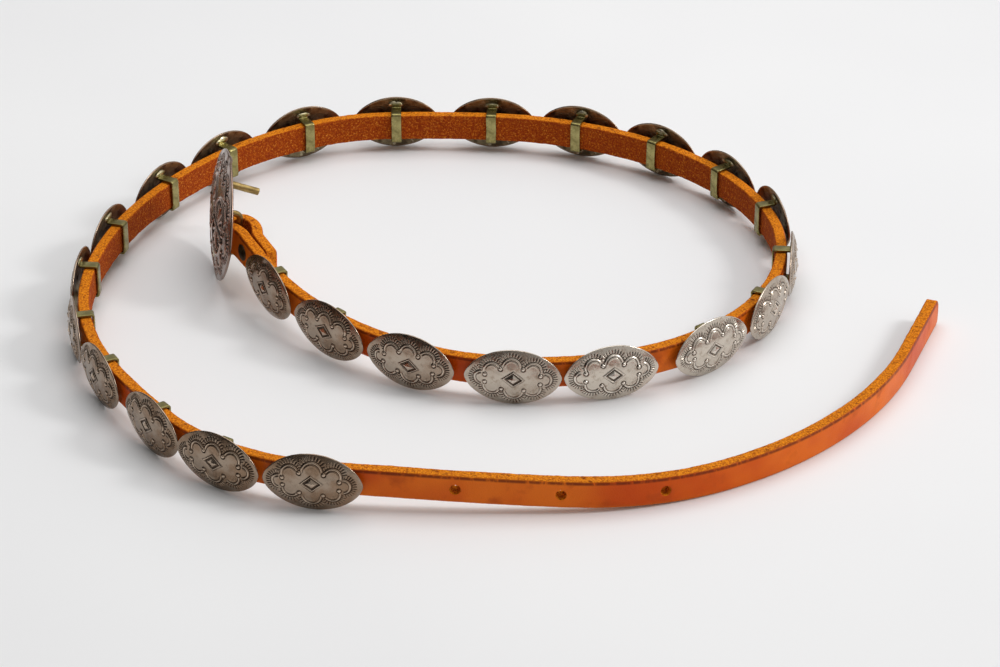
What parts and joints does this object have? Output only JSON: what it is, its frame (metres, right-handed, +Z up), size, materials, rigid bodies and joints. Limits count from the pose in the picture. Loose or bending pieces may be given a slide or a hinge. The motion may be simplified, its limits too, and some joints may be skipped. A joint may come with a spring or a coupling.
{
  "type": "concho belt",
  "caption": "Narrow leather strap coiled on edge, with domed oval stamped plates on keeper loops and a larger oval buckle plate with a hook stud.",
  "frame": {"origin": "centre of the underside of the belt's box as it stands coiled on edge", "axes": "+X along the longest extent, towards the tip of the tail; +Y towards the back of the coil; +Z up, across the strap's width"},
  "size_m": [0.2926, 0.2565, 0.0429],
  "materials": {
    "leather": "oiled tan strap leather, smooth face, napped back and edges",
    "silver": "stamped oxidised silver-coloured sheet, worn bright on the high places",
    "brass": "dull aged brass strip and rod"
  },
  "bodies": {
    "back_run": {"strap_back_run": "leather"},
    "buckle_run": {"strap_buckle_run": "leather", "fold_rivet": "brass"},
    "front_run": {"strap_front_run": "leather"},
    "tail": {"strap_tail": "leather"},
    "buckle": {"buckle_plate": "silver", "buckle_bar": "brass", "prong": "brass"},
    "concho_01": {"concho_01": "silver", "keeper_01": "brass"},
    "concho_02": {"concho_02": "silver", "keeper_02": "brass"},
    "concho_03": {"concho_03": "silver", "keeper_03": "brass"},
    "concho_04": {"concho_04": "silver", "keeper_04": "brass"},
    "concho_05": {"concho_05": "silver", "keeper_05": "brass"},
    "concho_06": {"concho_06": "silver", "keeper_06": "brass"},
    "concho_07": {"concho_07": "silver", "keeper_07": "brass"},
    "concho_08": {"concho_08": "silver", "keeper_08": "brass"},
    "concho_09": {"concho_09": "silver", "keeper_09": "brass"},
    "concho_10": {"concho_10": "silver", "keeper_10": "brass"},
    "concho_11": {"concho_11": "silver", "keeper_11": "brass"},
    "concho_12": {"concho_12": "silver", "keeper_12": "brass"},
    "concho_13": {"concho_13": "silver", "keeper_13": "brass"},
    "concho_14": {"concho_14": "silver", "keeper_14": "brass"},
    "concho_15": {"concho_15": "silver", "keeper_15": "brass"},
    "concho_16": {"concho_16": "silver", "keeper_16": "brass"},
    "concho_17": {"concho_17": "silver", "keeper_17": "brass"},
    "concho_18": {"concho_18": "silver", "keeper_18": "brass"},
    "concho_19": {"concho_19": "silver", "keeper_19": "brass"},
    "concho_20": {"concho_20": "silver", "keeper_20": "brass"},
    "concho_21": {"concho_21": "silver", "keeper_21": "brass"},
    "concho_22": {"concho_22": "silver", "keeper_22": "brass"},
    "concho_23": {"concho_23": "silver", "keeper_23": "brass"},
    "concho_24": {"concho_24": "silver", "keeper_24": "brass"}
  },
  "joints": [
    {"name": "right_bend", "type": "hinge", "parent": "back_run", "child": "buckle_run", "pos_m": [0.0947, 0.03336, 0.01], "axis": [0, 0, 1], "range_deg": [-2.5, 8]},
    {"name": "left_bend", "type": "hinge", "parent": "back_run", "child": "front_run", "pos_m": [-0.14095, -0.012, 0.01], "axis": [0, 0, 1], "range_deg": [-12, 3]},
    {"name": "tail_bend", "type": "hinge", "parent": "front_run", "child": "tail", "pos_m": [-0.03988, -0.12428, 0.00971], "axis": [0, 0, 1], "range_deg": [-20, 6]},
    {"name": "buckle_swing", "type": "hinge", "parent": "buckle_run", "child": "buckle", "pos_m": [-0.09156, 0.02639, 0.01642], "axis": [0.1548, 0.0229, 0.9877], "range_deg": [-50, 5]},
    {"name": "concho_01_slide", "type": "slide", "parent": "buckle_run", "child": "concho_01", "axis": [0.5166, -0.853, -0.0736], "range_m": [-0.0012, 0.00072]},
    {"name": "concho_02_slide", "type": "slide", "parent": "buckle_run", "child": "concho_02", "axis": [0.737, -0.6742, -0.0486], "range_m": [-0.00072, 0.00054]},
    {"name": "concho_03_slide", "type": "slide", "parent": "buckle_run", "child": "concho_03", "axis": [0.8972, -0.4409, -0.0238], "range_m": [-0.00054, 0.00125]},
    {"name": "concho_04_slide", "type": "slide", "parent": "buckle_run", "child": "concho_04", "axis": [0.9963, -0.0856, 0], "range_m": [-0.00125, 0.00021]},
    {"name": "concho_05_slide", "type": "slide", "parent": "buckle_run", "child": "concho_05", "axis": [0.9667, 0.2559, 0], "range_m": [-0.00021, 0.002]},
    {"name": "concho_06_slide", "type": "slide", "parent": "buckle_run", "child": "concho_06", "axis": [0.7644, 0.6448, 0], "range_m": [-0.002, 0.00078]},
    {"name": "concho_07_slide", "type": "slide", "parent": "buckle_run", "child": "concho_07", "axis": [0.4588, 0.8885, 0], "range_m": [-0.00078, 0.00023]},
    {"name": "concho_08_slide", "type": "slide", "parent": "buckle_run", "child": "concho_08", "axis": [0.0965, 0.9953, 0], "range_m": [-0.00023, 0.00093]},
    {"name": "concho_09_slide", "type": "slide", "parent": "back_run", "child": "concho_09", "axis": [-0.3068, 0.9518, 0], "range_m": [-0.00093, 0.00018]},
    {"name": "concho_10_slide", "type": "slide", "parent": "back_run", "child": "concho_10", "axis": [-0.5839, 0.8119, 0], "range_m": [-0.00018, 0.00043]},
    {"name": "concho_11_slide", "type": "slide", "parent": "back_run", "child": "concho_11", "axis": [-0.8081, 0.589, 0], "range_m": [-0.00043, 0.00023]},
    {"name": "concho_12_slide", "type": "slide", "parent": "back_run", "child": "concho_12", "axis": [-0.9367, 0.3501, 0], "range_m": [-0.00023, 0.00056]},
    {"name": "concho_13_slide", "type": "slide", "parent": "back_run", "child": "concho_13", "axis": [-0.9969, 0.0793, 0], "range_m": [-0.00056, 0.00134]},
    {"name": "concho_14_slide", "type": "slide", "parent": "back_run", "child": "concho_14", "axis": [-0.9996, -0.0282, 0], "range_m": [-0.00134, 0.0015]},
    {"name": "concho_15_slide", "type": "slide", "parent": "back_run", "child": "concho_15", "axis": [-0.8851, -0.4653, 0], "range_m": [-0.0015, 0.00144]},
    {"name": "concho_16_slide", "type": "slide", "parent": "back_run", "child": "concho_16", "axis": [-0.6936, -0.7204, 0], "range_m": [-0.00144, 0.00026]},
    {"name": "concho_17_slide", "type": "slide", "parent": "back_run", "child": "concho_17", "axis": [-0.5252, -0.851, 0], "range_m": [-0.00026, 0.00198]},
    {"name": "concho_18_slide", "type": "slide", "parent": "back_run", "child": "concho_18", "axis": [-0.307, -0.9517, 0], "range_m": [-0.00198, 0.00017]},
    {"name": "concho_19_slide", "type": "slide", "parent": "back_run", "child": "concho_19", "axis": [-0.1003, -0.995, 0], "range_m": [-0.00017, 0.00093]},
    {"name": "concho_20_slide", "type": "slide", "parent": "front_run", "child": "concho_20", "axis": [0.1982, -0.9802, 0], "range_m": [-0.00093, 0.00017]},
    {"name": "concho_21_slide", "type": "slide", "parent": "front_run", "child": "concho_21", "axis": [0.4636, -0.8861, 0], "range_m": [-0.00017, 0.0018]},
    {"name": "concho_22_slide", "type": "slide", "parent": "front_run", "child": "concho_22", "axis": [0.589, -0.8081, 0], "range_m": [-0.0018, 0.00023]},
    {"name": "concho_23_slide", "type": "slide", "parent": "front_run", "child": "concho_23", "axis": [0.8312, -0.556, 0], "range_m": [-0.00023, 0.00045]},
    {"name": "concho_24_slide", "type": "slide", "parent": "front_run", "child": "concho_24", "axis": [0.9839, -0.1785, -0.0002], "range_m": [-0.00045, 0.002]}
  ]
}
